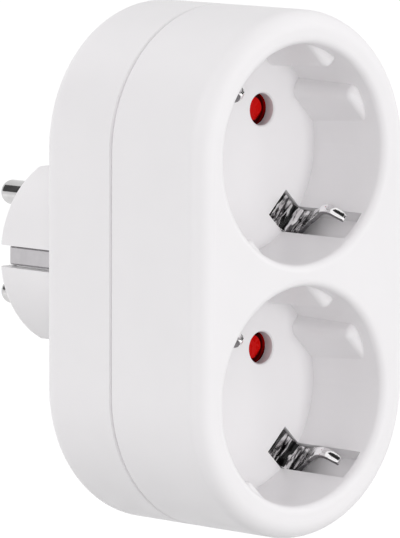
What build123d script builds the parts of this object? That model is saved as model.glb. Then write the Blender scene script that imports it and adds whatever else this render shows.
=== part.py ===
"""Two-socket mains adapter that plugs straight into a wall socket.

Millimetres. X is to the right, Y runs from the front face back to the wall, Z is up.
The origin is the middle of the plug's end face, where the two pins stand out.
Depths are measured from the front face towards the wall.
"""

from build123d import *
import math
import os

os.makedirs("parts", exist_ok=True)

# Socket wells
well_radius = 20.1
well_depth = 18.6
well_wall = 2.4
well_rim_radius = 1.5
floor_thickness = 2.2
wall_between_wells = 4.0
face_border = 6.15
socket_turn = 45.0

# Pins and the holes that take them
pin_pitch = 19.0
pin_hole_radius = 3.0
pin_hole_chamfer = 0.25

# Body shells
body_depth = 43.2
seam_depth = 24.1
shell_wall = 2.2
front_wall = 2.2
back_wall = 2.4
front_edge_radius = 3.4
back_edge_radius = 4.2
seam_chamfer = 0.2
seam_groove_width = 0.6
seam_groove_depth = 0.8
lip_wall = 0.9
lip_height = 1.6
lip_clearance = 0.1

# Guide ribs at both ends of each socket's pin axis
rib_height = 3.4
rib_gap = 5.8
rib_corner_radius = 2.0
rib_setback = 4.0
rib_root = 1.2
rib_draft = 2.0
rib_front_radius = 1.4

# Earth clips and their pockets
sheet = 0.8
clip_width = 5.8
clip_side_clearance = 0.2
clip_pocket_depth = 2.6
clip_pocket_wall = 1.0
clip_pocket_setback = 2.1
clip_slot_clearance = 0.1
clip_step_depth = 1.0
clip_back_gap = 1.4
clip_shoulder_rise = 3.4
clip_crest_inset = 3.9
clip_crest_rise = 10.8
clip_tip_inset = 0.9
clip_tip_rise = 14.0
clip_bend_radius = 1.2
clip_foot_radius = 0.8
clip_wall_radius = 2.8
clip_shoulder_radius = 2.4
clip_crest_radius = 2.6
clip_foot_share = 0.18
clip_wall_share = 0.6
tongue_width = 2.3
tongue_tip_width = 1.6
tongue_tip_radius = 0.6
tongue_taper = 5.2
tongue_start_rise = 3.2
tongue_shoulder_radius = 4.0
tongue_neck_radius = 9.0

# How far each tongue springs in, and how far forward, from the shape above
tongue_set = {
    "upper": {1: (1.8, 0.0), -1: (1.5, 2.0)},
    "lower": {1: (2.9, -0.6), -1: (0.0, 0.0)},
}

# Child-protection shutters
shutter_thickness = 1.6
shutter_play = 0.3
shutter_overlap = 0.4
shutter_blade_width = 8.0
shutter_hub_radius = 5.2
shutter_ramp_width = 2.2
shutter_ramp_depth = 0.8
shutter_swing = 48.0
pivot_radius = 2.0
pivot_clearance = 0.05
pivot_reach = 0.4

# Shutter springs
wire_radius = 0.3
spring_ring_radius = 3.7
spring_sweep = 300.0
spring_leg_reach = 6.0
spring_bend_radius = 0.6
spring_room = 0.35
spring_cover_fit = 0.15
spring_end_setback = 0.4

# Shutter covers
cover_thickness = 1.4
cover_margin = 1.5
cover_hole_clearance = 0.4
cover_boss_clearance = 0.4
foot_radius = 1.2
foot_inset = 0.3
foot_margin_angle = 7.0

# Housing screws
boss_radius = 3.2
boss_gap = 0.5
screw_radius = 1.45
screw_length = 13.0
screw_head_radius = 2.8
screw_head_height = 2.0
screw_recess_width = 0.8
screw_recess_length = 3.4
screw_recess_depth = 1.0
screw_fit = 0.05
screw_clearance = 0.2
pilot_spare = 1.0
screw_seat_wall = 2.0
screw_post_height = 4.6
screw_post_wall = 1.5
screw_head_clearance = 0.5

# Contacts and busbars
contact_radius = 2.5
contact_wall = 0.6
contact_length = 10.0
contact_setback = 0.6
contact_flange = 0.4
contact_slit = 1.0
contact_root = 1.6
contact_lead_in = 0.25
busbar_width = 5.6
busbar_pad_radius = 3.7
busbar_hole_clearance = 0.2
earth_bar_width = 4.0
earth_bar_overhang = 2.9
earth_bar_corner_radius = 1.2
rivet_radius = 1.0
rivet_fit = 0.03
rivet_head_radius = 1.8
rivet_head_height = 0.6

# Plug nose
plug_length = 20.8
nose_radius = 18.5
nose_end_radius = 1.8
nose_wall = 2.6
nose_end_wall = 3.0
guide_depth = 2.2
guide_wall = 2.1
guide_key_width = 5.2
earth_slot_height = 4.1
earth_slot_depth = 2.7
earth_slot_wall = 1.9
earth_strip_width = 3.4
earth_strip_seat = 0.1
earth_strip_setback = 1.2
earth_strip_bend = 1.2
earth_hook_reach = 1.4
earth_hook_room = 0.6
earth_passage_clearance = 0.4

# Plug pins
pin_radius = 2.4
pin_length = 18.2
pin_tip_radius = 2.0
pin_root_radius = 2.8
pin_root_fit = 0.03
pin_boss_wall = 2.1
pin_boss_length = 10.0
pin_collar_radius = 3.6
pin_collar_height = 1.2
pin_spigot_radius = 1.5
pin_stake_radius = 2.1
pin_stake_height = 0.8

# Sizes that follow from the ones above
front_y = -(body_depth + plug_length)
nose_end = body_depth + plug_length
socket_spacing = 2 * well_radius + wall_between_wells
socket_heights = {"upper": socket_spacing / 2, "lower": -socket_spacing / 2}
body_width = 2 * (well_radius + face_border)
inner_width = body_width - 2 * shell_wall
back_inside = body_depth - back_wall
floor_back = well_depth + floor_thickness
shutter_front = floor_back + shutter_play
shutter_back = shutter_front + shutter_thickness
cover_front = shutter_back + shutter_play
cover_back = cover_front + cover_thickness
clip_back = cover_back + sheet
earth_bar_back = clip_back + sheet
bracket_back = earth_bar_back + sheet
contact_front = cover_back + contact_setback
busbar_front = contact_front + contact_length
busbar_back = busbar_front + sheet
blade_tip = pin_pitch / 2 + pin_hole_radius + shutter_overlap
cover_radius = blade_tip + cover_margin
clip_leg_radius = cover_radius + clip_bend_radius
clip_slot_inner = clip_leg_radius - sheet / 2 - clip_slot_clearance
clip_pocket_radius = well_radius + clip_pocket_depth
clip_arm_radius = clip_pocket_radius - clip_back_gap - sheet / 2
clip_step_length = clip_arm_radius - clip_leg_radius
clip_slot_width = clip_width + 2 * clip_side_clearance
boss_offset = blade_tip + boss_gap + boss_radius
screw_height = socket_spacing / 2 + boss_offset
boss_end = back_inside - screw_post_height
screw_seat = boss_end + screw_seat_wall
screw_tip = screw_seat - screw_length
counterbore_radius = screw_head_radius + screw_head_clearance
earth_slot_bottom = nose_radius - earth_slot_depth
earth_strip_middle = earth_slot_bottom + earth_strip_seat + sheet / 2
spring_depth = shutter_back - spring_room / 2 - wire_radius
spring_groove_depth = 2 * wire_radius + spring_room
spring_leg_end = cover_back - spring_end_setback


def facing_front(depth, height=0.0, turn=0.0):
    """A plane parallel to the front face, whose normal points at the viewer."""
    angle = math.radians(turn)
    x_axis = (math.cos(angle), 0, math.sin(angle))
    return Plane(origin=(0, front_y + depth, height), x_dir=x_axis, z_dir=(0, -1, 0))


def along_depth(height=0.0, turn=0.0):
    """A plane that cuts the body from front to back: x lies across the face, y is the depth."""
    angle = math.radians(turn)
    x_axis = (math.cos(angle), 0, math.sin(angle))
    normal = (-math.sin(angle), 0, math.cos(angle))
    return Plane(origin=(0, front_y, height), x_dir=x_axis, z_dir=normal)


def stadium(width):
    """The body's outline at a given width, with its ends round the socket centres."""
    SlotCenterToCenter(socket_spacing, width, rotation=90)


# Front housing: one moulding with both wells
with BuildPart() as front_housing:
    with BuildSketch(facing_front(seam_depth)):
        stadium(body_width)
    extrude(amount=seam_depth)
    fillet(front_housing.faces().sort_by(Axis.Y)[0].edges(), front_edge_radius)
    with BuildSketch(facing_front(seam_depth)):
        stadium(body_width)
        groove_bottom = body_width - 2 * seam_groove_depth
        SlotCenterToCenter(socket_spacing, groove_bottom, rotation=90, mode=Mode.SUBTRACT)
    extrude(amount=seam_groove_width, mode=Mode.SUBTRACT)

    with BuildSketch(facing_front(seam_depth)):
        stadium(inner_width)
    extrude(amount=seam_depth - front_wall, mode=Mode.SUBTRACT)
    with BuildSketch(facing_front(seam_depth)):
        stadium(inner_width + 2 * (lip_wall + lip_clearance))
    extrude(amount=lip_height + lip_clearance, mode=Mode.SUBTRACT)

    for height in socket_heights.values():
        with BuildSketch(facing_front(floor_back, height, socket_turn)):
            Circle(well_radius + well_wall)
            pocket_back = clip_pocket_radius + clip_pocket_wall
            Rectangle(clip_slot_width + 2 * clip_pocket_wall, 2 * pocket_back)
        extrude(amount=floor_back - front_wall)
    for height in socket_heights.values():
        with BuildSketch(facing_front(well_depth, height)):
            Circle(well_radius)
        extrude(amount=well_depth, mode=Mode.SUBTRACT)
    well_rims = front_housing.faces().sort_by(Axis.Y)[0].inner_wires().edges()
    fillet(well_rims, well_rim_radius)

    for height in socket_heights.values():
        # Two pairs of ribs with draft, cut off inside the well's wall
        with BuildSketch(facing_front(well_depth, height, socket_turn)):
            rib_block = well_radius
            rib_across = 2 * (well_radius - rib_height) + rib_block
            with GridLocations(rib_across, rib_gap + rib_block, 2, 2):
                RectangleRounded(rib_block, rib_block, rib_corner_radius)
            Circle(well_radius + rib_root, mode=Mode.INTERSECT)
        extrude(amount=well_depth - rib_setback, taper=rib_draft)
        rib_fronts = front_housing.faces().filter_by(
            lambda face: math.isclose(face.center().Y, front_y + rib_setback, abs_tol=0.001)
        )
        rib_front_edges = rib_fronts.edges().filter_by(
            lambda edge: edge.geom_type != GeomType.CIRCLE or edge.radius < well_radius / 2
        )
        fillet(rib_front_edges, rib_front_radius)
        # Pockets in the wall behind the earth clips
        with BuildSketch(facing_front(well_depth, height, socket_turn)):
            Rectangle(clip_slot_width, 2 * clip_pocket_radius)
        extrude(amount=well_depth - clip_pocket_setback, mode=Mode.SUBTRACT)
        # Pin holes and clip slots through the floor
        with BuildSketch(facing_front(floor_back, height, socket_turn)):
            with PolarLocations(pin_pitch / 2, 2):
                Circle(pin_hole_radius)
            with PolarLocations((clip_slot_inner + clip_pocket_radius) / 2, 2, start_angle=90):
                Rectangle(clip_pocket_radius - clip_slot_inner, clip_slot_width)
        extrude(amount=floor_thickness, mode=Mode.SUBTRACT)
        # Pivot post of the shutter
        with BuildSketch(facing_front(cover_front + pivot_reach, height)):
            Circle(pivot_radius)
        extrude(amount=cover_front + pivot_reach - floor_back)
    floor_edges = front_housing.edges().filter_by(GeomType.CIRCLE).filter_by(
        lambda edge: math.isclose(edge.radius, pin_hole_radius, abs_tol=0.001)
    )
    chamfer(floor_edges.group_by(Axis.Y)[0], pin_hole_chamfer)

    # Screw bosses behind the floors
    with BuildSketch(facing_front(boss_end)):
        with GridLocations(0, 2 * screw_height, 1, 2):
            Circle(boss_radius)
    extrude(amount=boss_end - floor_back)
    with BuildSketch(facing_front(boss_end)):
        with GridLocations(0, 2 * screw_height, 1, 2):
            Circle(screw_radius + screw_fit)
    extrude(amount=boss_end - screw_tip + pilot_spare, mode=Mode.SUBTRACT)

front_housing.part.label = "front_housing"
export_step(front_housing.part, "parts/front_housing.step")

# Rear housing: one moulding with the plug nose
with BuildPart() as rear_housing:
    with BuildSketch(facing_front(body_depth)):
        stadium(body_width)
    extrude(amount=body_depth - seam_depth)
    fillet(rear_housing.faces().sort_by(Axis.Y)[-1].edges(), back_edge_radius)
    chamfer(rear_housing.faces().sort_by(Axis.Y)[0].edges(), seam_chamfer)
    with BuildSketch(facing_front(back_inside)):
        stadium(inner_width)
    extrude(amount=back_inside - seam_depth, mode=Mode.SUBTRACT)
    with BuildSketch(facing_front(seam_depth)):
        stadium(inner_width + 2 * lip_wall)
        SlotCenterToCenter(socket_spacing, inner_width, rotation=90, mode=Mode.SUBTRACT)
    extrude(amount=lip_height)

    # Nose with a guide flat either side of a key, above and below
    with BuildSketch(facing_front(nose_end)):
        Circle(nose_radius)
        flat_block = nose_radius
        flat_pitch = 2 * (nose_radius - guide_depth) + flat_block
        with GridLocations(guide_key_width + flat_block, flat_pitch, 2, 2):
            Rectangle(flat_block, flat_block, mode=Mode.SUBTRACT)
    extrude(amount=plug_length + back_wall)
    fillet(rear_housing.faces().sort_by(Axis.Y)[-1].edges(), nose_end_radius)
    with BuildSketch(facing_front(nose_end - nose_end_wall)):
        Circle(nose_radius - nose_wall)
        hollow_width = 2 * (earth_slot_bottom - earth_slot_wall)
        hollow_height = 2 * (nose_radius - guide_depth - guide_wall)
        Rectangle(hollow_width, hollow_height, mode=Mode.INTERSECT)
    extrude(amount=nose_end - nose_end_wall - back_inside, mode=Mode.SUBTRACT)

    # Pin bosses inside the nose
    with BuildSketch(facing_front(nose_end - nose_end_wall)):
        with GridLocations(0, pin_pitch, 1, 2):
            Circle(pin_root_radius + pin_boss_wall)
    extrude(amount=pin_boss_length)
    with BuildSketch(facing_front(nose_end)):
        with GridLocations(0, pin_pitch, 1, 2):
            Circle(pin_root_radius + pin_root_fit)
    extrude(amount=nose_end_wall + pin_boss_length, mode=Mode.SUBTRACT)

    # Earth slots in the nose's sides, with a deeper end for the strips' hooks
    with BuildSketch(facing_front(nose_end)):
        with GridLocations(2 * earth_slot_bottom + nose_radius, 0, 2, 1):
            Rectangle(nose_radius, earth_slot_height)
    extrude(amount=plug_length, mode=Mode.SUBTRACT)
    with BuildSketch(facing_front(nose_end)):
        hook_bottom = earth_slot_bottom - earth_hook_reach
        with GridLocations(2 * hook_bottom + nose_radius, 0, 2, 1):
            Rectangle(nose_radius, earth_slot_height)
    extrude(amount=earth_strip_setback + sheet + earth_hook_room, mode=Mode.SUBTRACT)
    with BuildSketch(facing_front(body_depth)):
        passage_width = earth_strip_seat + sheet + earth_passage_clearance
        with GridLocations(2 * earth_slot_bottom + passage_width, 0, 2, 1):
            Rectangle(passage_width, earth_slot_height)
    extrude(amount=back_wall, mode=Mode.SUBTRACT)

    # Posts that take the housing screws from behind
    with BuildSketch(facing_front(back_inside)):
        with GridLocations(0, 2 * screw_height, 1, 2):
            Circle(counterbore_radius + screw_post_wall)
    extrude(amount=screw_post_height)
    with BuildSketch(facing_front(body_depth)):
        with GridLocations(0, 2 * screw_height, 1, 2):
            Circle(counterbore_radius)
    extrude(amount=body_depth - screw_seat, mode=Mode.SUBTRACT)
    with BuildSketch(facing_front(screw_seat)):
        with GridLocations(0, 2 * screw_height, 1, 2):
            Circle(screw_radius + screw_clearance)
    extrude(amount=screw_seat_wall, mode=Mode.SUBTRACT)

rear_housing.part.label = "rear_housing"
export_step(rear_housing.part, "parts/rear_housing.step")

# Housing screws
with BuildPart() as housing_screws:
    with BuildSketch(facing_front(screw_seat)):
        with GridLocations(0, 2 * screw_height, 1, 2):
            Circle(screw_radius)
    extrude(amount=screw_length)
    with BuildSketch(facing_front(screw_seat + screw_head_height)):
        with GridLocations(0, 2 * screw_height, 1, 2):
            Circle(screw_head_radius)
    extrude(amount=screw_head_height)
    with BuildSketch(facing_front(screw_seat + screw_head_height)):
        with GridLocations(0, 2 * screw_height, 1, 2):
            Rectangle(screw_recess_length, screw_recess_width)
            Rectangle(screw_recess_width, screw_recess_length)
    extrude(amount=screw_recess_depth, mode=Mode.SUBTRACT)

housing_screws.part.label = "housing_screws"
export_step(housing_screws.part, "parts/housing_screws.step")

# Plug pins, each with a root in the nose, a collar against its boss and a staked end
for name, height in (("upper_plug_pin", pin_pitch / 2), ("lower_plug_pin", -pin_pitch / 2)):
    with BuildPart() as plug_pin:
        with BuildSketch(facing_front(nose_end + pin_length, height)):
            Circle(pin_radius)
        extrude(amount=pin_length)
        fillet(plug_pin.faces().sort_by(Axis.Y)[-1].edges(), pin_tip_radius)
        with BuildSketch(facing_front(nose_end, height)):
            Circle(pin_root_radius)
        extrude(amount=nose_end - busbar_back)
        collar_back = nose_end - nose_end_wall - pin_boss_length
        with BuildSketch(facing_front(collar_back, height)):
            Circle(pin_collar_radius)
        extrude(amount=pin_collar_height)
        with BuildSketch(facing_front(busbar_back, height)):
            Circle(pin_spigot_radius)
        extrude(amount=sheet)
        with BuildSketch(facing_front(busbar_front, height)):
            Circle(pin_stake_radius)
        extrude(amount=pin_stake_height)

    plug_pin.part.label = name
    export_step(plug_pin.part, f"parts/{name}.step")

# Busbars: each joins one plug pin to the contact on its side of both sockets
contact_across = pin_pitch / 2 * math.cos(math.radians(socket_turn))
contact_rise = pin_pitch / 2 * math.sin(math.radians(socket_turn))
for name, side in (("right_busbar", 1), ("left_busbar", -1)):
    bar_x = side * contact_across
    bar_ends = [(bar_x, height + side * contact_rise) for height in socket_heights.values()]
    pin_place = (0, side * pin_pitch / 2)
    with BuildPart() as busbar:
        with BuildSketch(facing_front(busbar_back)):
            with BuildLine():
                Line(bar_ends[0], bar_ends[1])
            trace(line_width=busbar_width)
            with BuildLine():
                Line((bar_x, pin_place[1]), pin_place)
            trace(line_width=busbar_width)
            with Locations(pin_place):
                Circle(busbar_width / 2)
            with Locations(*bar_ends):
                Circle(busbar_pad_radius)
                Circle(contact_radius + busbar_hole_clearance, mode=Mode.SUBTRACT)
            with Locations(pin_place):
                Circle(pin_spigot_radius + rivet_fit, mode=Mode.SUBTRACT)
        extrude(amount=sheet)

    busbar.part.label = name
    export_step(busbar.part, f"parts/{name}.step")

# Contact sleeves, flanged on the busbars and slit so that they grip a pin
for socket, height in socket_heights.items():
    for hand, side in (("right", 1), ("left", -1)):
        contact_x = side * contact_across
        contact_z = height + side * contact_rise
        name = f"{socket}_{hand}_contact"
        with BuildPart() as contact:
            with BuildSketch(facing_front(busbar_front)):
                with Locations((contact_x, contact_z)):
                    Circle(contact_radius + contact_wall)
            extrude(amount=contact_length)
            with BuildSketch(facing_front(busbar_front)):
                with Locations((contact_x, contact_z)):
                    Circle(contact_radius + contact_wall + contact_flange)
            extrude(amount=sheet)
            with BuildSketch(facing_front(busbar_front)):
                with Locations((contact_x, contact_z)):
                    Circle(contact_radius)
            extrude(amount=contact_length, mode=Mode.SUBTRACT)
            mouth = contact.faces().sort_by(Axis.Y)[0].inner_wires().edges()
            chamfer(mouth, contact_lead_in)
            with BuildSketch(facing_front(busbar_front - contact_root)):
                with Locations((contact_x, contact_z)):
                    Rectangle(contact_slit, 2 * (contact_radius + contact_wall + contact_flange))
            extrude(amount=contact_length - contact_root, mode=Mode.SUBTRACT)

        contact.part.label = name
        export_step(contact.part, f"parts/{name}.step")

# Earth busbar behind both clips
with BuildPart() as earth_busbar:
    with BuildSketch(facing_front(earth_bar_back)):
        Rectangle(earth_bar_width, socket_spacing + 2 * earth_bar_overhang)
        with GridLocations(0, socket_spacing / 2, 1, 3):
            Circle(rivet_radius + rivet_fit, mode=Mode.SUBTRACT)
    extrude(amount=sheet)
    bar_corners = earth_busbar.edges().filter_by(Axis.Y).filter_by(GeomType.LINE)
    fillet(bar_corners, earth_bar_corner_radius)

earth_busbar.part.label = "earth_busbar"
export_step(earth_busbar.part, "parts/earth_busbar.step")

# Earth clips: one bent strip for each socket, with a sprung tongue at both ends
clip_bends = [
    clip_bend_radius,
    min(clip_foot_radius, clip_foot_share * clip_step_length),
    min(clip_wall_radius, clip_wall_share * clip_step_length),
    clip_shoulder_radius,
    clip_crest_radius,
]
for socket, height in socket_heights.items():
    with BuildPart() as earth_clip:
        for side, (lift, reach) in tongue_set[socket].items():
            crest_depth = well_depth - clip_crest_rise - reach
            tip_depth = well_depth - clip_tip_rise - reach
            arm = [
                (0, clip_back - sheet / 2),
                (clip_leg_radius, clip_back - sheet / 2),
                (clip_leg_radius, well_depth + clip_step_depth),
                (clip_arm_radius, well_depth + clip_step_depth),
                (clip_arm_radius, well_depth - clip_shoulder_rise),
                (well_radius - clip_crest_inset - lift, crest_depth),
                (well_radius - clip_tip_inset - lift, tip_depth),
            ]
            with BuildPart() as clip_half:
                with BuildSketch(along_depth(height, socket_turn + 90)):
                    with BuildLine():
                        FilletPolyline([(side * across, depth) for across, depth in arm], radius=clip_bends)
                    trace(line_width=sheet)
                extrude(amount=clip_width / 2, both=True)
                # Seen along the strip: full width in the pocket, then narrowing to the tongue
                with BuildSketch(along_depth(height, socket_turn)) as tongue:
                    shoulder = well_depth - tongue_start_rise
                    neck = shoulder - tongue_taper
                    with BuildLine():
                        Polyline(
                            (-clip_width / 2, clip_back + sheet),
                            (-clip_width / 2, shoulder),
                            (-tongue_width / 2, neck),
                            (-tongue_tip_width / 2, tip_depth),
                            (tongue_tip_width / 2, tip_depth),
                            (tongue_width / 2, neck),
                            (clip_width / 2, shoulder),
                            (clip_width / 2, clip_back + sheet),
                            close=True,
                        )
                    make_face()
                    fillet(tongue.vertices().group_by(Axis.Y)[1], tongue_neck_radius)
                    fillet(tongue.vertices().group_by(Axis.Y)[-2], tongue_shoulder_radius)
                    fillet(tongue.vertices().group_by(Axis.Y)[0], tongue_tip_radius)
                extrude(amount=clip_pocket_radius, both=True, mode=Mode.INTERSECT)
        with BuildSketch(facing_front(clip_back, height)):
            Circle(rivet_radius + rivet_fit)
        extrude(amount=sheet, mode=Mode.SUBTRACT)

    earth_clip.part.label = f"{socket}_earth_clip"
    export_step(earth_clip.part, f"parts/{socket}_earth_clip.step")

# Plug earth bracket: one bent strip whose hooked ends lie in the nose's slots
with BuildPart() as plug_earth_bracket:
    strip_end = nose_end - earth_strip_setback
    base_depth = bracket_back - sheet / 2
    hook_x = earth_strip_middle - earth_hook_reach
    with BuildSketch(along_depth()):
        with BuildLine():
            FilletPolyline(
                (-hook_x, strip_end),
                (-earth_strip_middle, strip_end),
                (-earth_strip_middle, base_depth),
                (earth_strip_middle, base_depth),
                (earth_strip_middle, strip_end),
                (hook_x, strip_end),
                radius=earth_strip_bend,
            )
        trace(line_width=sheet)
    extrude(amount=earth_strip_width / 2, both=True)
    with BuildSketch(facing_front(bracket_back)):
        Circle(rivet_radius + rivet_fit)
    extrude(amount=sheet, mode=Mode.SUBTRACT)

plug_earth_bracket.part.label = "plug_earth_bracket"
export_step(plug_earth_bracket.part, "parts/plug_earth_bracket.step")

# Earth rivets: one behind each socket, and one in the middle for the plug's bracket
rivet_grips = [
    (socket_heights["upper"], cover_back, earth_bar_back),
    (0.0, clip_back, bracket_back),
    (socket_heights["lower"], cover_back, earth_bar_back),
]
with BuildPart() as earth_rivets:
    for height, grip_front, grip_back in rivet_grips:
        with BuildSketch(facing_front(grip_back, height)):
            Circle(rivet_radius)
        extrude(amount=grip_back - grip_front)
        with BuildSketch(facing_front(grip_front, height)):
            Circle(rivet_head_radius)
        extrude(amount=rivet_head_height)
        with BuildSketch(facing_front(grip_back + rivet_head_height, height)):
            Circle(rivet_head_radius)
        extrude(amount=rivet_head_height)

earth_rivets.part.label = "earth_rivets"
export_step(earth_rivets.part, "parts/earth_rivets.step")

# Shutters: two blades on a hub, with a ramp on the edge that a pin meets
groove_inner = spring_ring_radius - wire_radius - spring_room
groove_outer = spring_ring_radius + wire_radius + spring_room
for socket, height in socket_heights.items():
    pin_axis = facing_front(shutter_front, height, socket_turn)
    with BuildPart() as shutter:
        with BuildSketch(facing_front(shutter_back, height, socket_turn)):
            Rectangle(2 * blade_tip, shutter_blade_width)
            Circle(blade_tip, mode=Mode.INTERSECT)
            Circle(shutter_hub_radius)
            Circle(pivot_radius + pivot_clearance, mode=Mode.SUBTRACT)
        extrude(amount=shutter_thickness)
        blade_edges = shutter.faces().sort_by(Axis.Y)[0].edges().filter_by(GeomType.LINE)
        ramp_edges = blade_edges.filter_by(
            lambda edge: pin_axis.to_local_coords(edge.center()).X
            * pin_axis.to_local_coords(edge.center()).Y
            < 0
        )
        front_face = shutter.faces().sort_by(Axis.Y)[0]
        chamfer(ramp_edges, shutter_ramp_width, shutter_ramp_depth, reference=front_face)
        # Groove for the spring's ring and a notch for its leg
        with BuildSketch(facing_front(shutter_back, height, socket_turn)):
            Circle(groove_outer)
            Circle(groove_inner, mode=Mode.SUBTRACT)
            notch_length = spring_leg_reach + spring_room - spring_ring_radius
            with Locations((spring_ring_radius + notch_length / 2, -spring_bend_radius)):
                Rectangle(notch_length, 2 * (wire_radius + spring_room))
        extrude(amount=spring_groove_depth, mode=Mode.SUBTRACT)

    shutter.part.label = f"{socket}_shutter"
    export_step(shutter.part, f"parts/{socket}_shutter.step")

# Shutter springs: an open ring of wire, one leg in the shutter and one in the cover
for socket, height in socket_heights.items():
    ring_plane = facing_front(spring_depth, height, socket_turn)
    with BuildPart() as shutter_spring:
        with BuildLine(ring_plane):
            ring = CenterArc((0, 0), spring_ring_radius, 0, spring_sweep)
            bend = JernArc(ring @ 0, (0, -1), spring_bend_radius, 90)
            Line(bend @ 1, (spring_leg_reach, -spring_bend_radius))
        with BuildSketch(Plane(origin=ring @ 1, z_dir=ring % 1)):
            Circle(wire_radius)
        sweep()
        with BuildLine(Plane(origin=ring @ 1, x_dir=ring % 1, z_dir=(ring % 1).cross(Vector(0, 1, 0)))):
            leg_bend = JernArc((0, 0), (1, 0), spring_bend_radius, 90)
            Line(leg_bend @ 1, (spring_bend_radius, spring_leg_end - spring_depth))
        with BuildSketch(Plane(origin=ring @ 1, z_dir=ring % 1)):
            Circle(wire_radius)
        sweep()

    shutter_spring.part.label = f"{socket}_shutter_spring"
    export_step(shutter_spring.part, f"parts/{socket}_shutter_spring.step")

# Shutter covers: a disc on four feet, clear of the blades' swing
foot_ring = cover_radius - foot_radius - foot_inset
blade_half_angle = math.degrees(math.asin(shutter_blade_width / 2 / (foot_ring - foot_radius)))
foot_half_angle = math.degrees(math.asin(foot_radius / foot_ring))
foot_stand_off = blade_half_angle + foot_half_angle + foot_margin_angle
foot_angles = (shutter_swing + foot_stand_off, 180 - foot_stand_off)
cover_hole_radius = max(pivot_radius, rivet_head_radius) + cover_hole_clearance
boss_angle = 90 - socket_turn
ring_end_angle = math.radians(spring_sweep)
spring_leg_place = (
    spring_ring_radius * math.cos(ring_end_angle) - spring_bend_radius * math.sin(ring_end_angle),
    spring_ring_radius * math.sin(ring_end_angle) + spring_bend_radius * math.cos(ring_end_angle),
)
for socket, height in socket_heights.items():
    with BuildPart() as shutter_cover:
        with BuildSketch(facing_front(cover_back, height, socket_turn)):
            Circle(cover_radius)
            Circle(cover_hole_radius, mode=Mode.SUBTRACT)
            with PolarLocations(pin_pitch / 2, 2):
                Circle(pin_hole_radius + cover_hole_clearance, mode=Mode.SUBTRACT)
            with PolarLocations(boss_offset, 2, start_angle=boss_angle):
                Circle(boss_radius + cover_boss_clearance, mode=Mode.SUBTRACT)
            with Locations(spring_leg_place):
                Circle(wire_radius + spring_cover_fit, mode=Mode.SUBTRACT)
        extrude(amount=cover_thickness)
        with BuildSketch(facing_front(cover_front, height, socket_turn)):
            for foot_angle in foot_angles:
                with PolarLocations(foot_ring, 2, start_angle=foot_angle):
                    Circle(foot_radius)
        extrude(amount=cover_front - floor_back)

    shutter_cover.part.label = f"{socket}_shutter_cover"
    export_step(shutter_cover.part, f"parts/{socket}_shutter_cover.step")
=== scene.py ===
# %% [markdown]
# # Two-socket wall adapter
# The adapter is two white mouldings that meet at a seam, with two socket wells in front and a round plug
# nose behind. The imported model already holds every piece at its true size, so it is loaded first and
# everything that follows is fitted to it.

# %% Load the imported model
import math

import bpy
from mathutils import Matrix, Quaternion, Vector


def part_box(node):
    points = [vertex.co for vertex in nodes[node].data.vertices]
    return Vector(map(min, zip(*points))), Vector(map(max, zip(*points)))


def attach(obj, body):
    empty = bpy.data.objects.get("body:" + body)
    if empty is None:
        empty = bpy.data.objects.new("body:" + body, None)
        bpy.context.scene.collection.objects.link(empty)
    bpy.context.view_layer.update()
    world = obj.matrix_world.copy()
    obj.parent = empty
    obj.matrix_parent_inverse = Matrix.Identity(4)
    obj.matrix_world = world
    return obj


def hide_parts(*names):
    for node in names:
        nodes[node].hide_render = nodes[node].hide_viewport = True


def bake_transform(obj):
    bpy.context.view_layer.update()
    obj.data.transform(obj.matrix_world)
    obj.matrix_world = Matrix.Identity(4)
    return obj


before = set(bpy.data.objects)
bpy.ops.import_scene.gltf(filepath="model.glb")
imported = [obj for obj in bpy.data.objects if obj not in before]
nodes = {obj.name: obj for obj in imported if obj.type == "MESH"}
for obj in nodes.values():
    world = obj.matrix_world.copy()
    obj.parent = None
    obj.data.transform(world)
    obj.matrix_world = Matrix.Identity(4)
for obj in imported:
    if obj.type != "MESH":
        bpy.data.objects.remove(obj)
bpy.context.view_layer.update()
mm = 0.001
print("loaded", len(nodes), "pieces")

# %% [markdown]
# ## The camera
# The picture is taken from the adapter's front left, a little above its middle, through a long lens that
# keeps the two wells nearly the same size. A camera can be pushed about until the picture looks right, but
# angles and distances are easier to correct one at a time. The viewing angle is turned into a direction, the
# camera is stepped back along it, and then it is aimed at the point in the middle of the picture.

# %% Place the camera
view_turn = math.radians(43.55)
view_drop = math.radians(6.27)
view_roll = math.radians(0.155)
camera_distance = 1116.7 * mm
orbit_centre = Vector((0, -44, 0)) * mm
picture_centre = Vector((-4.02, -40.17, -0.37)) * mm
lens_length = 406.3
sensor_width = 36
nearest_seen = 10 * mm
view_direction = Vector((
    math.cos(view_drop) * math.sin(view_turn),
    math.cos(view_drop) * math.cos(view_turn),
    -math.sin(view_drop),
))
camera_place = orbit_centre - view_direction * camera_distance
aim = (picture_centre - camera_place).to_track_quat("-Z", "Y")
tilt = Quaternion((0, 0, 1), view_roll)
bpy.ops.object.select_all(action="DESELECT")
bpy.ops.object.camera_add(location=camera_place, rotation=(aim @ tilt).to_euler())
camera = bpy.context.object
camera.data.lens = lens_length
camera.data.sensor_width = sensor_width
camera.data.clip_start = nearest_seen
bpy.context.scene.camera = camera
bpy.context.scene.view_settings.view_transform = "Standard"
print("camera at", [round(value, 3) for value in camera_place])

# %% [markdown]
# ## White surroundings
# The adapter was photographed in a white light tent. A white box could be built round it, but the world can
# be the tent without any mesh. It is plain white to the camera and to reflections, which gives the pure
# white background, and a little greyer where it lights the object, so that the white plastic keeps its
# shading. Light Path tells the two kinds of ray apart. The floor needs the same test, so it is a helper.

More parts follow.
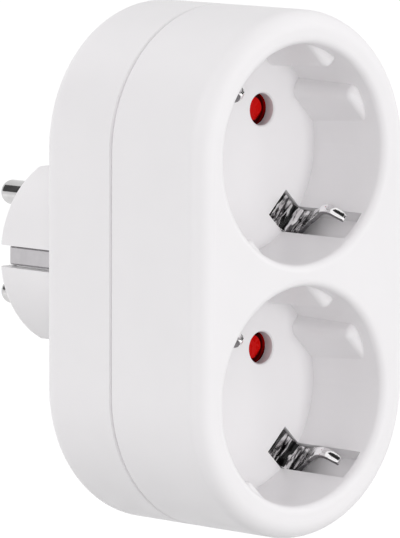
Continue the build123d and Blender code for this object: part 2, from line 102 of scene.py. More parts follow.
# %% Tell the rays apart
def add_seen_rays(tree):
    """A value of 1 for rays from the camera, a mirror or glass, and 0 for rays that only light the object."""
    rays = tree.nodes.new("ShaderNodeLightPath")
    seen_or_mirrored = tree.nodes.new("ShaderNodeMath")
    seen_or_mirrored.operation = "MAXIMUM"
    shows_white = tree.nodes.new("ShaderNodeMath")
    shows_white.operation = "MAXIMUM"
    tree.links.new(rays.outputs["Is Camera Ray"], seen_or_mirrored.inputs[0])
    tree.links.new(rays.outputs["Is Glossy Ray"], seen_or_mirrored.inputs[1])
    tree.links.new(seen_or_mirrored.outputs[0], shows_white.inputs[0])
    tree.links.new(rays.outputs["Is Transmission Ray"], shows_white.inputs[1])
    return shows_white.outputs[0]


# %% Make the world
tent_light = 0.74
tent_colour = (1.0, 0.99, 1.0, 1)
backdrop_colour = (1, 1, 1, 1)
backdrop_light = 1.0
world = bpy.data.worlds.new("light_tent")
world.use_nodes = True
bpy.context.scene.world = world
tree = world.node_tree
tree.nodes.clear()
lighting = tree.nodes.new("ShaderNodeBackground")
lighting.inputs["Color"].default_value = tent_colour
lighting.inputs["Strength"].default_value = tent_light
backdrop = tree.nodes.new("ShaderNodeBackground")
backdrop.inputs["Color"].default_value = backdrop_colour
backdrop.inputs["Strength"].default_value = backdrop_light
choice = tree.nodes.new("ShaderNodeMixShader")
output = tree.nodes.new("ShaderNodeOutputWorld")
tree.links.new(add_seen_rays(tree), choice.inputs["Fac"])
tree.links.new(lighting.outputs[0], choice.inputs[1])
tree.links.new(backdrop.outputs[0], choice.inputs[2])
tree.links.new(choice.outputs[0], output.inputs["Surface"])
print("tent lights the object at", tent_light)

# %% [markdown]
# ## Lamps
# Five soft panels stand round the adapter: three in front, which light the faces and the bottoms of the
# wells, one on the left for the side, and one behind on the left for the plug. A sun or a spot would throw
# hard shadows into the wells, so square area lamps are used, which give the same broad, even light as the
# panels. Each one is aimed at the middle of the adapter and kept out of reflections.

# %% Hang the soft panels
adapter_middle = Vector((0, -42, 0)) * mm
# The place of each panel, its width and its power in watts
panels = {
    "front_panel": ((0.1, -1.25, 0.02), 0.24, 3.0),
    "camera_panel": ((-0.85, -0.95, 0.05), 0.3, 1.6),
    "right_panel": ((0.95, -0.95, 0.25), 0.6, 2.1),
    "left_panel": ((-1.25, -0.1, 0.0), 0.5, 0.5),
    "back_panel": ((-0.9, 0.9, 0.1), 0.4, 3.7),
}


def turn_to_adapter(place, front):
    """The rotation that points a front axis from a place to the middle of the adapter."""
    return (adapter_middle - Vector(place)).to_track_quat(front, "Y").to_euler()


for name, (place, width, power) in panels.items():
    bpy.ops.object.select_all(action="DESELECT")
    bpy.ops.object.light_add(type="AREA", location=place, rotation=turn_to_adapter(place, "-Z"))
    panel = bpy.context.object
    panel.name = name
    panel.data.shape = "SQUARE"
    panel.data.size = width
    panel.data.energy = power
    panel.visible_glossy = False
    panel.visible_camera = False
print("lamps:", ", ".join(panels))

# %% [markdown]
# ## Dark cards
# Polished metal shows what stands round it, so in an all-white tent it would come out white. Painting it
# dark would only make it dull. A photographer sets black cards just outside the picture to give metal its
# dark bands, and three planes do the same: one behind on the left, which the pins show, and two in front,
# above and on the right, which the earth clips show. They are hidden from all but reflections, so they
# neither shade the adapter nor get in the way.

# %% Set up the dark cards
card_roughness = 0.9
# The place of each card, its width and height, and its shade of grey
cards = {
    "pin_card": ((-0.43, 0.58, 0.30), (0.64, 0.50), 0.13),
    "high_card": ((0.0, -0.82, 0.66), (1.1, 1.05), 0.015),
    "right_card": ((0.84, -0.91, -0.08), (0.55, 0.40), 0.015),
}
for name, (place, (width, height), shade) in cards.items():
    card_paint = bpy.data.materials.new(name)
    card_paint.use_nodes = True
    shader = card_paint.node_tree.nodes["Principled BSDF"]
    shader.inputs["Base Color"].default_value = (shade, shade, shade, 1)
    shader.inputs["Roughness"].default_value = card_roughness
    bpy.ops.object.select_all(action="DESELECT")
    bpy.ops.mesh.primitive_plane_add(size=1, location=place, rotation=turn_to_adapter(place, "Z"))
    card = bpy.context.object
    card.name = name
    card.scale = (width, height, 1)
    card.data.materials.append(card_paint)
    card.visible_camera = False
    card.visible_diffuse = False
    card.visible_transmission = False
    card.visible_shadow = False
print("cards:", ", ".join(cards))

# %% [markdown]
# ## Floor
# The adapter hangs in a wall socket and never stands on anything, so the pale floor lies well below it
# and its shadow falls out of the picture. A curved backdrop is not needed, since the world is white already,
# and a large plane is enough. To the camera and to reflections the floor is as white as the tent, except
# where the adapter's shadow dulls it.

# %% Lay the floor
floor_drop = -300 * mm
floor_size = 12
floor_glow = 0.7
floor_colour = (0.5, 0.5, 0.5, 1)
bpy.ops.object.select_all(action="DESELECT")
bpy.ops.mesh.primitive_plane_add(size=floor_size, location=(0, 0, floor_drop))
floor = bpy.context.object
floor.name = "floor"
floor_paint = bpy.data.materials.new("floor_paint")
floor_paint.use_nodes = True
tree = floor_paint.node_tree
tree.nodes.clear()
glow_strength = tree.nodes.new("ShaderNodeMath")
glow_strength.operation = "MULTIPLY"
glow_strength.inputs[1].default_value = floor_glow
paint = tree.nodes.new("ShaderNodeBsdfDiffuse")
paint.inputs["Color"].default_value = floor_colour
glow = tree.nodes.new("ShaderNodeEmission")
both = tree.nodes.new("ShaderNodeAddShader")
output = tree.nodes.new("ShaderNodeOutputMaterial")
tree.links.new(add_seen_rays(tree), glow_strength.inputs[0])
tree.links.new(glow_strength.outputs[0], glow.inputs["Strength"])
tree.links.new(paint.outputs[0], both.inputs[0])
tree.links.new(glow.outputs[0], both.inputs[1])
tree.links.new(both.outputs[0], output.inputs["Surface"])
floor.data.materials.append(floor_paint)
print("floor", round(floor_drop, 3))

# %% [markdown]
# ## White moulded plastic
# Both housings are moulded in white plastic from a tool with a fine, even texture, so they are neither
# matt nor polished. One plain colour would look like paper. Three layers of noise on Object coordinates
# make it: a broad one that hardly changes the white, one that varies how shiny it is, and a very fine one
# that works as bump. Every finish below is made of the same layers, so each layer has a helper.

# %% Helpers for finishes
# Most values of a noise lie between these two
noise_low, noise_high = 0.3, 0.7


def start_finish(name, roughness, metallic=0.0):
    """A new finish with its shader's plain values set, and the coordinates that its patterns follow."""
    finish = bpy.data.materials.new(name)
    finish.use_nodes = True
    shader = finish.node_tree.nodes["Principled BSDF"]
    shader.inputs["Roughness"].default_value = roughness
    shader.inputs["Metallic"].default_value = metallic
    place = finish.node_tree.nodes.new("ShaderNodeTexCoord")
    return finish, shader, place.outputs["Object"]


def add_noise(finish, place, grain, detail=2.0, stretch=(1, 1, 1), turn=0.0):
    """Noise with spots of about that grain, in metres, turned about Y and drawn out along each axis."""
    links = finish.node_tree.links
    mapping = finish.node_tree.nodes.new("ShaderNodeMapping")
    mapping.vector_type = "TEXTURE"
    mapping.inputs["Rotation"].default_value = (0, turn, 0)
    mapping.inputs["Scale"].default_value = stretch
    noise = finish.node_tree.nodes.new("ShaderNodeTexNoise")
    noise.inputs["Scale"].default_value = 1 / grain
    noise.inputs["Detail"].default_value = detail
    links.new(place, mapping.inputs["Vector"])
    links.new(mapping.outputs["Vector"], noise.inputs["Vector"])
    return noise.outputs["Fac"]


def add_colours(finish, shader, value, dark, light):
    """A base colour that wanders between two near shades."""
    ramp = finish.node_tree.nodes.new("ShaderNodeValToRGB")
    ramp.color_ramp.elements[0].position = noise_low
    ramp.color_ramp.elements[0].color = (*dark, 1)
    ramp.color_ramp.elements[1].position = noise_high
    ramp.color_ramp.elements[1].color = (*light, 1)
    finish.node_tree.links.new(value, ramp.inputs["Fac"])
    finish.node_tree.links.new(ramp.outputs["Color"], shader.inputs["Base Color"])


def add_shine(finish, shader, value, low, high):
    """A roughness that wanders between two values."""
    spread = finish.node_tree.nodes.new("ShaderNodeMapRange")
    spread.inputs["From Min"].default_value = noise_low
    spread.inputs["From Max"].default_value = noise_high
    spread.inputs["To Min"].default_value = low
    spread.inputs["To Max"].default_value = high
    finish.node_tree.links.new(value, spread.inputs["Value"])
    finish.node_tree.links.new(spread.outputs["Result"], shader.inputs["Roughness"])


def add_bump(finish, shader, value, depth, strength):
    """Fine relief, with its depth in metres."""
    bump = finish.node_tree.nodes.new("ShaderNodeBump")
    bump.inputs["Strength"].default_value = strength
    bump.inputs["Distance"].default_value = depth
    finish.node_tree.links.new(value, bump.inputs["Height"])
    finish.node_tree.links.new(bump.outputs["Normal"], shader.inputs["Normal"])


# %% Make the white plastic
white_plastic, white_shader, white_place = start_finish("white_plastic", roughness=0.4)
white_shades = add_noise(white_plastic, white_place, grain=14 * mm)
add_colours(white_plastic, white_shader, white_shades,
            dark=(0.905, 0.893, 0.902), light=(0.92, 0.908, 0.917))
white_gloss = add_noise(white_plastic, white_place, grain=5 * mm, detail=3)
add_shine(white_plastic, white_shader, white_gloss, low=0.36, high=0.46)
tool_texture = add_noise(white_plastic, white_place, grain=0.22 * mm, detail=3)
add_bump(white_plastic, white_shader, tool_texture, depth=0.02 * mm, strength=0.12)
print("made", white_plastic.name)

# %% [markdown]
# ## Red plastic
# The shutters behind the pin holes are a saturated red, with the shine of a small part from a polished
# tool. The colour is nearly even, so its noise only shifts it a little. White light that the surface throws
# back would make a deep red look pink, so its specular level is kept low.

# %% Make the red plastic
red_plastic, red_shader, red_place = start_finish("red_plastic", roughness=0.28)
red_shader.inputs["Specular IOR Level"].default_value = 0.12
red_shades = add_noise(red_plastic, red_place, grain=4 * mm)
add_colours(red_plastic, red_shader, red_shades, dark=(0.58, 0.002, 0.001), light=(0.67, 0.003, 0.002))
red_gloss = add_noise(red_plastic, red_place, grain=1.5 * mm, detail=3)
add_shine(red_plastic, red_shader, red_gloss, low=0.22, high=0.34)
red_texture = add_noise(red_plastic, red_place, grain=0.15 * mm)
add_bump(red_plastic, red_shader, red_texture, depth=0.01 * mm, strength=0.1)
print("made", red_plastic.name)

# %% [markdown]
# ## Metals
# The pins and earth strips are nickel plated, the contacts and busbars are bare brass, and the springs,
# rivets and screws are steel. All of them are the same recipe with other colours, so a loop makes them: a
# metal whose shine varies in streaks. A pin was turned on a lathe, so its streaks run round it, across its
# length. A strip was rolled, so its streaks run along it.

# %% Make the metals
# The dark and light shade of each metal, its roughness, and how far its streaks are drawn out along each axis
metal_recipes = {
    "pin_nickel": ((0.50, 0.495, 0.495), (0.57, 0.565, 0.565), (0.07, 0.14), (3, 0.2, 3)),
    "strip_nickel": ((0.47, 0.457, 0.47), (0.53, 0.515, 0.53), (0.1, 0.18), (1, 4, 1)),
    "bare_brass": ((0.70, 0.47, 0.2), (0.80, 0.57, 0.27), (0.2, 0.34), (1, 1, 4)),
    "spring_wire": ((0.42, 0.42, 0.43), (0.52, 0.52, 0.53), (0.22, 0.34), (1, 1, 1)),
    "zinc_steel": ((0.56, 0.56, 0.55), (0.68, 0.68, 0.66), (0.24, 0.4), (1, 1, 1)),
}
metals = {}
for name, (dark, light, (smooth, rough), streaks) in metal_recipes.items():
    finish, shader, place = start_finish(name, roughness=(smooth + rough) / 2, metallic=1.0)
    patches = add_noise(finish, place, grain=3 * mm)
    add_colours(finish, shader, patches, dark, light)
    marks = add_noise(finish, place, grain=0.5 * mm, detail=4, stretch=streaks)
    add_shine(finish, shader, marks, smooth, rough)
    add_bump(finish, shader, marks, depth=0.01 * mm, strength=0.08)
    metals[name] = finish
print("made", ", ".join(metals))

# %% [markdown]
# ## Metal of the sprung clips
# The clips are thin plated strip that was pressed to shape. Their cut edges are painted darker, as a painted
# reflection of the dark surroundings that they would mirror, and streaks at the bottom of the pocket are
# painted shade and painted dark reflection. The edges could have a material of their own, but a mask follows
# the rounded edges too. A face belongs to a cut edge if its normal points along the strip's width, and the
# painted shade fades out with the distance from the bottom of the well. Four small helpers build such masks
# from plain arithmetic.

# %% Helpers for masks
def add_math(finish, operation, value, other=0.0):
    """One step of arithmetic. The other value is a number or what another node gives."""
    step = finish.node_tree.nodes.new("ShaderNodeMath")
    step.operation = operation
    finish.node_tree.links.new(value, step.inputs[0])
    if isinstance(other, float):
        step.inputs[1].default_value = other
    else:
        finish.node_tree.links.new(other, step.inputs[1])
    return step.outputs[0]


def add_reach(finish, vector, direction):
    """How far a vector reaches along a direction."""
    reach = finish.node_tree.nodes.new("ShaderNodeVectorMath")
    reach.operation = "DOT_PRODUCT"
    reach.inputs[1].default_value = direction
    finish.node_tree.links.new(vector, reach.inputs[0])
    return reach.outputs["Value"]


def add_fade(finish, value, start, end):
    """A smooth change from 0 to 1 between two values."""
    fade = finish.node_tree.nodes.new("ShaderNodeMapRange")
    fade.interpolation_type = "SMOOTHSTEP"
    fade.inputs["From Min"].default_value = start
    fade.inputs["From Max"].default_value = end
    finish.node_tree.links.new(value, fade.inputs["Value"])
    return fade.outputs["Result"]


def add_stain(finish, shader, mask, colour):
    """Another colour on top of the base colour, as strong as the mask says."""
    links = finish.node_tree.links
    base_colour = shader.inputs["Base Color"].links[0].from_socket
    stain = finish.node_tree.nodes.new("ShaderNodeMixRGB")
    stain.inputs["Color2"].default_value = (*colour, 1)
    links.new(mask, stain.inputs["Fac"])
    links.new(base_colour, stain.inputs["Color1"])
    links.new(stain.outputs["Color"], shader.inputs["Base Color"])


# %% Make the clip metal
clip_lean = math.radians(-45)
clip_nickel, clip_shader, clip_place = start_finish("clip_nickel", roughness=0.08, metallic=1.0)
clip_patches = add_noise(clip_nickel, clip_place, grain=2 * mm, stretch=(2, 1, 1), turn=clip_lean)
add_colours(clip_nickel, clip_shader, clip_patches, dark=(0.84, 0.83, 0.835), light=(0.95, 0.94, 0.945))
clip_marks = add_noise(clip_nickel, clip_place, grain=0.4 * mm, detail=4, stretch=(3, 1, 1), turn=clip_lean)
add_shine(clip_nickel, clip_shader, clip_marks, low=0.05, high=0.14)
print("made", clip_nickel.name)

# %% Paint shade on the clips near the pocket's bottom and darken their cut edges as a painted reflection
into_wall = (0, 1, 0)
strip_width = (math.cos(clip_lean), 0, -math.sin(clip_lean))
# Painted shade and painted dark reflection: dark streaks that grow towards the bottom of the pocket
foot_shade_colour = (0.1, 0.097, 0.1)
foot_shade_start, foot_shade_end = -54 * mm, -47 * mm
streak_edge, streak_full = 0.54, 0.42
# Painted reflection: the cut edges are darker, for the dark surroundings that they would mirror
cut_edge_reflection_colour = (0.2, 0.195, 0.2)
cut_start, cut_full = 0.6, 0.9
clip_depth = add_reach(clip_nickel, clip_place, into_wall)
near_bottom = add_fade(clip_nickel, clip_depth, foot_shade_start, foot_shade_end)
streaks = add_noise(clip_nickel, clip_place, grain=0.7 * mm, detail=2.5, stretch=(4, 1, 1), turn=clip_lean)
in_streak = add_fade(clip_nickel, streaks, streak_edge, streak_full)
painted_foot_shade = add_math(clip_nickel, "MULTIPLY", in_streak, near_bottom)
add_stain(clip_nickel, clip_shader, painted_foot_shade, foot_shade_colour)
sideways = add_reach(clip_nickel, clip_place.node.outputs["Normal"], strip_width)
edge_reflection_mask = add_fade(clip_nickel, add_math(clip_nickel, "ABSOLUTE", sideways), cut_start, cut_full)
add_stain(clip_nickel, clip_shader, edge_reflection_mask, cut_edge_reflection_colour)
print("tarnish fades out from", foot_shade_end, "to", foot_shade_start)

# %% [markdown]
# ## Relief of the sprung clips
# Pressing leaves the strip wavy, and every plug that goes in bends it a little more, so it breaks up what
# it mirrors into bands. They are shallow and hardly change its outline, so bump is enough for them. They run
# across the strip, which leans at 45 degrees, so their noise is turned to follow it. The tongue that touches
# the plug is rubbed smooth, so the waves are calmer there.

# %% Give the clips their waves
wave_depth = 0.33 * mm
calm_tongue = -0.28 * mm
tongue_start, tongue_end = -52 * mm, -55.5 * mm
on_tongue = add_fade(clip_nickel, clip_depth, tongue_start, tongue_end)
waves = add_noise(clip_nickel, clip_place, grain=1.2 * mm, detail=0.6, stretch=(2.4, 1, 1), turn=clip_lean)
calming = add_math(clip_nickel, "MULTIPLY", on_tongue, calm_tongue)
wave_scale = add_math(clip_nickel, "ADD", calming, wave_depth)
wave_height = add_math(clip_nickel, "MULTIPLY", waves, wave_scale)
add_bump(clip_nickel, clip_shader, wave_height, depth=1.0, strength=1.0)
print("waves", wave_depth, "m deep, calmer from", round(tongue_start, 4))

# %% [markdown]
# ## Painted shade in the pin holes
# The walls of the pin holes are painted greyer than the rest, as painted shade that deepens into the holes.
# They belong to the housing's mesh, so a mask finds them by the distance from the axis of a hole. Measured
# along the two diagonals and folded about the middle of each socket, all four holes lie at the same place, so
# one distance serves for all of them. The fold also makes four places near the sides of the body, so the mask
# ends a little beside the holes. The painted grey grows with depth and ends at the back of the well's floor.

# %% Find the pin holes
diagonal = math.sqrt(0.5)
socket_height = 22.1 * mm
pin_pitch = 19 * mm
hole_shade_edge, hole_shade_full = 3.3 * mm, 3.08 * mm
hole_shade_reach = 11 * mm


def add_fold(finish, value, distance):
    """The value measured from a place at that distance on either side of the middle."""
    return add_math(finish, "SUBTRACT", add_math(finish, "ABSOLUTE", value), distance)


along = add_reach(white_plastic, white_place, (diagonal, 0, diagonal))
along = add_fold(white_plastic, along, socket_height * diagonal)
along = add_fold(white_plastic, along, pin_pitch / 2)
beside = add_reach(white_plastic, white_place, (diagonal, 0, -diagonal))
beside = add_fold(white_plastic, beside, socket_height * diagonal)
along_square = add_math(white_plastic, "POWER", along, 2.0)
beside_square = add_math(white_plastic, "POWER", beside, 2.0)
from_axis = add_math(white_plastic, "SQRT", add_math(white_plastic, "ADD", along_square, beside_square))
near_hole = add_fade(white_plastic, from_axis, hole_shade_edge, hole_shade_full)
from_middle = add_math(white_plastic, "ABSOLUTE", add_reach(white_plastic, white_place, (1, 0, 0)))
near_middle = add_math(white_plastic, "LESS_THAN", from_middle, hole_shade_reach)
print("pin holes lie", round(pin_pitch / 2, 4), "m from the middle of a socket")

# %% Paint shade on the walls of the pin holes
# Painted shade: the walls of the pin holes turn grey with depth, down to the back of the well's floor
hole_shade_colour = (0.58, 0.63, 0.65)
hole_shade_start, hole_shade_deep, floor_back = -46 * mm, -43.4 * mm, -42.6 * mm
hole_depth = add_reach(white_plastic, white_place, into_wall)
deeper = add_fade(white_plastic, hole_depth, hole_shade_start, hole_shade_deep)
in_floor = add_math(white_plastic, "LESS_THAN", hole_depth, floor_back)
hole_shade = add_math(white_plastic, "MULTIPLY", near_hole, near_middle)
hole_shade = add_math(white_plastic, "MULTIPLY", hole_shade, add_math(white_plastic, "MULTIPLY", deeper, in_floor))
add_stain(white_plastic, white_shader, hole_shade, hole_shade_colour)
print("pin holes greyed from", hole_shade_start, "to", floor_back)

# %% [markdown]
# ## Pieces that stay as they are
# The two housings have the radii of their tool in the solids already, and the parts inside have the right
# shape and are hardly seen. Copies of them would gain nothing, so these pieces only take a finish: a node's
# own material slot is pointed at it.

# %% Dress the pieces that stay
kept_pieces = [
    (white_plastic, ["front_housing", "rear_housing", "upper_shutter_cover", "lower_shutter_cover"]),
    (metals["bare_brass"], [
        "right_busbar", "left_busbar", "upper_right_contact", "upper_left_contact",
        "lower_right_contact", "lower_left_contact",
    ]),
    (metals["strip_nickel"], ["earth_busbar"]),
    (metals["zinc_steel"], ["earth_rivets"]),
]
for finish, members in kept_pieces:
    for member in members:
        nodes[member].material_slots[0].material = finish
print("dressed", sum(len(members) for finish, members in kept_pieces), "pieces that stay")

# %% [markdown]
# ## Rounded edges
# Small parts have no knife edges: a tool, a press or a lathe leaves a small radius on each of them, which
# catches the light. The solids of the shutters, the clips, the earth strip and the pins have sharp edges. A
# shader can only pretend to round them, so each of these pieces is copied, its loose triangles are merged
# back into flat faces, and every sharp edge is rounded by a bevel. The bevel keeps the piece's size and is
# only as wide as the edge of the real part. Weighted normals keep the flat faces flat next to it.

# %% Helpers for copies
crease_angle = math.radians(35)
merge_distance = 0.0002 * mm
flat_angle = math.radians(0.5)


def select_only(piece):
    """Make a piece the only one that operators act on."""
    bpy.ops.object.select_all(action="DESELECT")
    bpy.context.view_layer.objects.active = piece
    piece.select_set(True)


def copy_node(node_name, piece_name):
    """A copy of a node as one closed mesh, selected."""
    piece = bpy.data.objects.new(piece_name, nodes[node_name].data.copy())
    bpy.context.scene.collection.objects.link(piece)
    select_only(piece)
    bpy.ops.mesh.customdata_custom_splitnormals_clear()
    bpy.ops.object.mode_set(mode="EDIT")
    bpy.ops.mesh.select_all(action="SELECT")
    bpy.ops.mesh.remove_doubles(threshold=merge_distance)
    bpy.ops.object.mode_set(mode="OBJECT")
    bpy.ops.object.shade_smooth_by_angle(angle=crease_angle)
    return piece


def even_shading(piece):
    """Smooth shading that breaks at sharp edges and keeps flat faces flat."""
    bpy.ops.mesh.customdata_custom_splitnormals_clear()
    bpy.ops.object.shade_smooth_by_angle(angle=crease_angle)
    normals = piece.modifiers.new("flat_faces", "WEIGHTED_NORMAL")
    normals.keep_sharp = True
    bpy.ops.object.modifier_apply(modifier="flat_faces")


def soften(node_name, piece_name, edge_width, sharp_angle=40):
    """A copy of a node with its sharp edges rounded."""
    piece = copy_node(node_name, piece_name)
    bpy.ops.object.mode_set(mode="EDIT")
    bpy.ops.mesh.select_all(action="SELECT")
    bpy.ops.mesh.dissolve_limited(angle_limit=flat_angle)
    bpy.ops.object.mode_set(mode="OBJECT")
    rounding = piece.modifiers.new("rounded_edges", "BEVEL")
    rounding.limit_method = "ANGLE"
    rounding.angle_limit = math.radians(sharp_angle)
    rounding.width = edge_width
    rounding.segments = 2
    rounding.use_clamp_overlap = False
    rounding.miter_outer = "MITER_ARC"
    bpy.ops.object.modifier_apply(modifier="rounded_edges")
    even_shading(piece)
    return piece


# %% Helpers for cutting and dressing
def cut_out(piece, tool, crossing=False):
    """Cut the shape of a tool out of a piece, and throw the tool away."""
    select_only(piece)
    cut = piece.modifiers.new("cut", "BOOLEAN")
    cut.operation = "DIFFERENCE"
    cut.object = tool
    cut.use_self = crossing
    bpy.ops.object.modifier_apply(modifier="cut")
    bpy.data.objects.remove(tool)


def dress(piece, node_name, body, finish):
    """Let a piece stand for its node, move with its body and take its finish."""
    piece.data.materials.clear()
    piece.data.materials.append(finish)
    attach(piece, body)
    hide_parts(node_name)
    print(piece.name, len(piece.data.polygons), "faces")


# %% [markdown]
# ## Shutters
# Each shutter is a red blade on a pivot that covers both pin holes. Only a disc of it shows through each
# hole, but it turns, so the whole blade is softened and rides on its own body. Behind each hole the blade
# has a round button that the pin lands on, with a groove round it, which shows as a dark ring. A painted
# ring would not cast the groove's shadow, so two rings are cut out of the blade, half sunk into its front
# face.

# %% Find the pivots of the shutters
sockets = ("upper", "lower")
pivots = {}
for socket in sockets:
    low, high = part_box(f"{socket}_shutter")
    pivots[socket] = (low + high) / 2
    blade_front = low.y
    print(socket, "blade starts at", round(blade_front, 4))

# %% Round the shutters and cut their grooves
small_edge = 0.12 * mm
button_radius = 2.15 * mm
groove_radius = 0.58 * mm
groove_depth = 1.3 * mm
hole_offset = pin_pitch / 2 * diagonal
for socket in sockets:
    blade = soften(f"{socket}_shutter", f"{socket}_red_shutter", small_edge, sharp_angle=20)
    for side in (1, -1):
        button_place = (side * hole_offset, blade_front, pivots[socket].z + side * hole_offset)
        bpy.ops.object.select_all(action="DESELECT")
        bpy.ops.mesh.primitive_torus_add(
            major_radius=button_radius + groove_radius, minor_radius=groove_radius,
            major_segments=64, minor_segments=20,
            location=button_place, rotation=(math.radians(90), 0, 0))
        ring = bpy.context.object
        ring.scale = (1, 1, groove_depth / groove_radius)
        cut_out(blade, ring)
    bpy.ops.object.shade_smooth_by_angle(angle=crease_angle)
    dress(blade, f"{socket}_shutter", f"{socket}_shutter", red_plastic)

# %% [markdown]
# Below the blade's front face the red is painted darker, as painted shade in the grooves. The grooves are
# part of the blade's mesh, and a fade on the depth finds them without any extra material.

# %% Paint shade into the grooves
# Painted shade: the red turns darker with depth in the grooves
groove_shade_colour = (0.09, 0.001, 0.001)
groove_start, groove_bottom = blade_front + 0.15 * mm, blade_front + 0.9 * mm
blade_depth = add_reach(red_plastic, red_place, into_wall)
groove_shade = add_fade(red_plastic, blade_depth, groove_start, groove_bottom)
add_stain(red_plastic, red_shader, groove_shade, groove_shade_colour)
print("grooves darken from", round(groove_start, 5))

# %% [markdown]
# ## Shutter springs
# An open ring of wire behind each blade turns it back. One end of the wire sits in the blade and the other
# in the cover, so the ring winds up as the blade turns. On one body alone it would cut through the other.
# Here the copy only takes its finish and stands for its node; it is tied to neither body and does not bend.

# %% Copy the springs
for socket in sockets:
    wire = copy_node(f"{socket}_shutter_spring", f"{socket}_ring_spring")
    wire.data.materials.clear()
    wire.data.materials.append(metals["spring_wire"])
    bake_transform(wire)
    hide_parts(f"{socket}_shutter_spring")
    print(wire.name, len(wire.data.polygons), "faces")

# %% [markdown]
# ## Earth clips
# The clips are stamped from sheet, so their edges are broken and only a little round. The tongue that
# touches the plug is pressed round across its width, so that it slides, and mirrors a narrow dark line along
# its middle. Bump could bend the mirror image but not the outline, so the mesh itself is bent: the copy is
# cut into narrow strips along the tongue, and their edges sink towards the wall of the well by the square of
# their distance from the middle. Below the tongue the press fades out. The tongues on the far side stand in
# a little further than those on the near side.

# %% Bend a clip's tongues
crown_slope = 0.85
crown_half_width = 1.2 * mm
crown_cut = 0.25 * mm
crown_strips = 4
press_shares = (0.0, 0.33, 0.67, 1.0)
tongue_length = tongue_end - tongue_start
across = Vector(strip_width)
outward = Vector((across.z, 0, -across.x))


def cut_strips(middle):
    """Cut the selected clip along its tongues, and across them where the press fades out."""
    bpy.ops.object.mode_set(mode="EDIT")
    for step in range(-crown_strips, crown_strips + 1):
        bpy.ops.mesh.select_all(action="SELECT")
        bpy.ops.mesh.bisect(plane_co=middle + across * crown_cut * step, plane_no=across)
    for share in press_shares:
        bpy.ops.mesh.select_all(action="SELECT")
        bpy.ops.mesh.bisect(plane_co=(0, tongue_start + tongue_length * share, 0), plane_no=into_wall)
    bpy.ops.object.mode_set(mode="OBJECT")


def crown_tongues(clip, middle, far_lift):
    """Round both tongues of a clip across their width, and lift the far one."""
    for vertex in clip.data.vertices:
        share = (vertex.co.y - tongue_start) / tongue_length
        share = min(max(share, 0), 1)
        press = share * share * (3 - 2 * share)
        side = math.copysign(1, (vertex.co - middle).dot(outward))
        off_middle = (vertex.co - middle).dot(across)
        sink = crown_slope / (2 * crown_half_width) * off_middle ** 2
        if side < 0:
            sink -= far_lift
        vertex.co += outward * side * sink * press


# %% Make the clips
far_tongue_lift = {"upper": 0.75 * mm, "lower": 0.55 * mm}
for socket in sockets:
    clip = soften(f"{socket}_earth_clip", f"{socket}_sprung_clip", small_edge)
    cut_strips(pivots[socket])
    crown_tongues(clip, pivots[socket], far_tongue_lift[socket])
    even_shading(clip)
    dress(clip, f"{socket}_earth_clip", "housing", clip_nickel)

# %% [markdown]
# ## Earth bracket and pins
# The bracket is stamped from sheet as well, and the edges of its two strips are rounder than those of the
# clips. The pins come off a lathe, with softly broken edges. All of them have their full shape in the solids,
# so rounding a copy is all that they need.

# %% Round the bracket and the pins
strip_edge = 0.25 * mm
bracket = soften("plug_earth_bracket", "plug_earth_strip", strip_edge)
dress(bracket, "plug_earth_bracket", "housing", metals["strip_nickel"])
for end in ("upper", "lower"):
    pin = soften(f"{end}_plug_pin", f"{end}_round_pin", small_edge)
    dress(pin, f"{end}_plug_pin", "housing", metals["pin_nickel"])

# %% [markdown]
# ## Housing screws
# Two self-tapping screws pull the mouldings together from behind, and their heads show at the bottom of
# their holes. A turned profile could make one, but a cylinder needs fewer steps: its rim is bevelled round
# for the head, and its front is inset and extruded into the shank, which ends in a point.

# %% Helpers for modelling
def start_piece(name):
    """An empty mesh at the origin, open for editing."""
    piece = bpy.data.objects.new(name, bpy.data.meshes.new(name))
    bpy.context.scene.collection.objects.link(piece)
    select_only(piece)
    bpy.ops.object.mode_set(mode="EDIT")
    bpy.ops.mesh.select_mode(type="FACE")
    return piece


def pick_faces(piece, wanted):
    """Select only the faces that pass a test."""
    bpy.ops.mesh.select_all(action="DESELECT")
    bpy.ops.object.mode_set(mode="OBJECT")
    for face in piece.data.polygons:
        face.select = wanted(face)
    bpy.ops.object.mode_set(mode="EDIT")


def faces_back(face):
    """Whether a face looks straight back, as the top of a screw's head does."""
    return face.normal.y > 0.9


def faces_front(face):
    """Whether a face looks straight to the front, as the point of a screw does."""
    return face.normal.y < -0.9


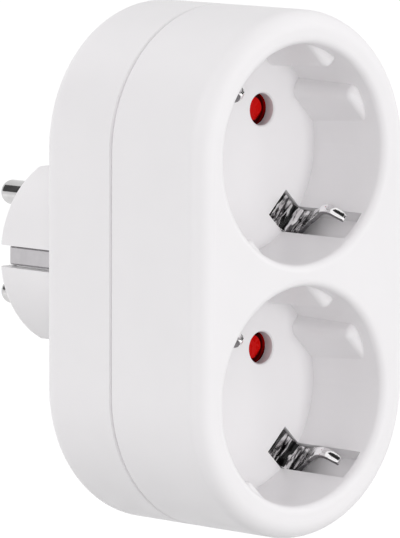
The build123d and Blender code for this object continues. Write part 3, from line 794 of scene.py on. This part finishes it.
# %% Model the screws
low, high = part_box("housing_screws")
head_radius = (high.x - low.x) / 2
head_height = 2 * mm
head_rounding = 0.9 * mm
shank_radius = 1.45 * mm
point_length = 2.5 * mm
point_share = 0.2
screw_rise = high.z - head_radius
seat = high.y - head_height
shank_length = seat - low.y - point_length
screws = start_piece("back_screws")
bpy.ops.mesh.primitive_cylinder_add(
    vertices=48, radius=head_radius, depth=head_height,
    location=(0, high.y - head_height / 2, screw_rise), rotation=(math.radians(-90), 0, 0))
pick_faces(screws, faces_back)
bpy.ops.mesh.bevel(offset=head_rounding, segments=6)
pick_faces(screws, faces_front)
bpy.ops.mesh.inset(thickness=head_radius - shank_radius)
bpy.ops.mesh.extrude_region_move(TRANSFORM_OT_translate={"value": (0, -shank_length, 0)})
bpy.ops.mesh.extrude_region_move(TRANSFORM_OT_translate={"value": (0, -point_length, 0)})
bpy.ops.transform.resize(value=(point_share, 1, point_share), center_override=(0, low.y, screw_rise))
bpy.ops.object.mode_set(mode="OBJECT")
print("screw head", round(2 * head_radius, 4), "m wide, shank", round(shank_length, 4), "m long")

# %% [markdown]
# A driver fits into a cross in the head. Faces could be pushed in one by one, but it is easier to model the
# tip of the driver: a bar that tapers towards its end, and a copy of it turned by a right angle. Both are
# cut out of the head together. One screw is modelled, and a copy of it is moved to the other hole.

# %% Cut the cross into the head
cross_length, cross_depth, cross_width = 3.2 * mm, 2.2 * mm, 0.8 * mm
cross_taper = (0.5, 1, 0.7)
cross_middle = (0, high.y, screw_rise)
cross = start_piece("cross_cutter")
bpy.ops.mesh.primitive_cube_add(size=1, location=cross_middle)
bpy.ops.transform.resize(value=(cross_length, cross_depth, cross_width), center_override=cross_middle)
pick_faces(cross, faces_front)
bpy.ops.transform.resize(value=cross_taper, center_override=cross_middle)
bpy.ops.mesh.select_all(action="SELECT")
bpy.ops.mesh.duplicate()
bpy.ops.transform.rotate(value=math.radians(90), orient_axis="Y", center_override=cross_middle)
bpy.ops.object.mode_set(mode="OBJECT")
cut_out(screws, cross, crossing=True)
print("cross cut into", screws.name)

# %% Copy the screw to the lower hole
bpy.ops.object.mode_set(mode="EDIT")
bpy.ops.mesh.select_all(action="SELECT")
bpy.ops.mesh.duplicate_move(TRANSFORM_OT_translate={"value": (0, 0, -2 * screw_rise)})
bpy.ops.object.mode_set(mode="OBJECT")
bpy.ops.object.shade_smooth_by_angle(angle=crease_angle)
dress(screws, "housing_screws", "housing", metals["zinc_steel"])
